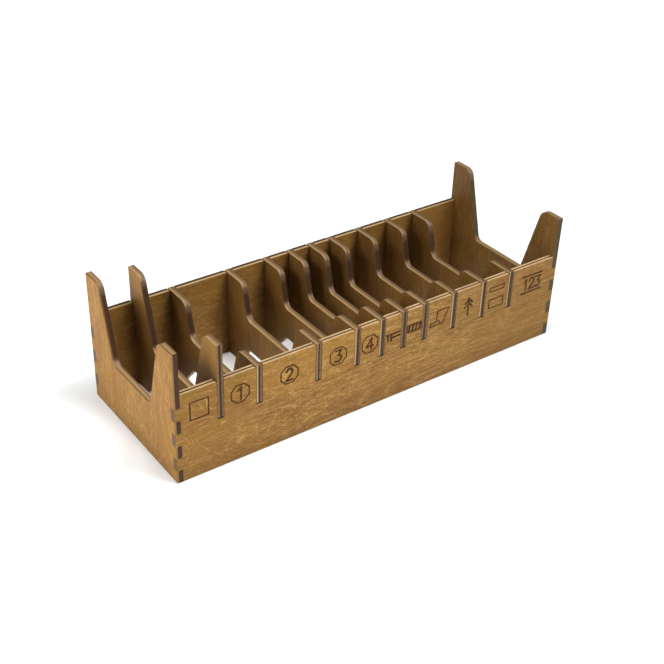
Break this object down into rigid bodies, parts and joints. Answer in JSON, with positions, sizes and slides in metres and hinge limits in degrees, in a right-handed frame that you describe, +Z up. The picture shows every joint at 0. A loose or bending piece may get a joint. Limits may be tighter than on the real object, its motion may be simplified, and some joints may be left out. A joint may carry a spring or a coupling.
{
  "type": "box insert organizer",
  "caption": "Long low open tray of thin plywood with horned ends, split by lift-out dividers into compartments for cards and tokens in a game box.",
  "frame": {"origin": "middle of the tray's footprint, on the surface it stands on", "axes": "+X along the tray towards its right end, +Y towards the back wall, +Z up"},
  "size_m": [0.224, 0.08, 0.0685],
  "materials": {
    "stained_plywood": "satin"
  },
  "bodies": {
    "tray": {"front_wall": "stained_plywood", "back_wall": "stained_plywood", "left_end_wall": "stained_plywood", "right_end_wall": "stained_plywood"},
    "divider_01": {"divider_01": "stained_plywood"},
    "divider_02": {"divider_02": "stained_plywood"},
    "divider_03": {"divider_03": "stained_plywood"},
    "divider_04": {"divider_04": "stained_plywood"},
    "divider_05": {"divider_05": "stained_plywood"},
    "divider_06": {"divider_06": "stained_plywood"},
    "divider_07": {"divider_07": "stained_plywood"},
    "divider_08": {"divider_08": "stained_plywood"},
    "divider_09": {"divider_09": "stained_plywood"},
    "divider_10": {"divider_10": "stained_plywood"}
  },
  "joints": [
    {"name": "divider_01_lift", "type": "slide", "parent": "tray", "child": "divider_01", "axis": [0, 0, 1], "range_m": [0, 0.048]},
    {"name": "divider_02_lift", "type": "slide", "parent": "tray", "child": "divider_02", "axis": [0, 0, 1], "range_m": [0, 0.048]},
    {"name": "divider_03_lift", "type": "slide", "parent": "tray", "child": "divider_03", "axis": [0, 0, 1], "range_m": [0, 0.048]},
    {"name": "divider_04_lift", "type": "slide", "parent": "tray", "child": "divider_04", "axis": [0, 0, 1], "range_m": [0, 0.048]},
    {"name": "divider_05_lift", "type": "slide", "parent": "tray", "child": "divider_05", "axis": [0, 0, 1], "range_m": [0, 0.048]},
    {"name": "divider_06_lift", "type": "slide", "parent": "tray", "child": "divider_06", "axis": [0, 0, 1], "range_m": [0, 0.048]},
    {"name": "divider_07_lift", "type": "slide", "parent": "tray", "child": "divider_07", "axis": [0, 0, 1], "range_m": [0, 0.048]},
    {"name": "divider_08_lift", "type": "slide", "parent": "tray", "child": "divider_08", "axis": [0, 0, 1], "range_m": [0, 0.048]},
    {"name": "divider_09_lift", "type": "slide", "parent": "tray", "child": "divider_09", "axis": [0, 0, 1], "range_m": [0, 0.048]},
    {"name": "divider_10_lift", "type": "slide", "parent": "tray", "child": "divider_10", "axis": [0, 0, 1], "range_m": [0, 0.048]}
  ]
}
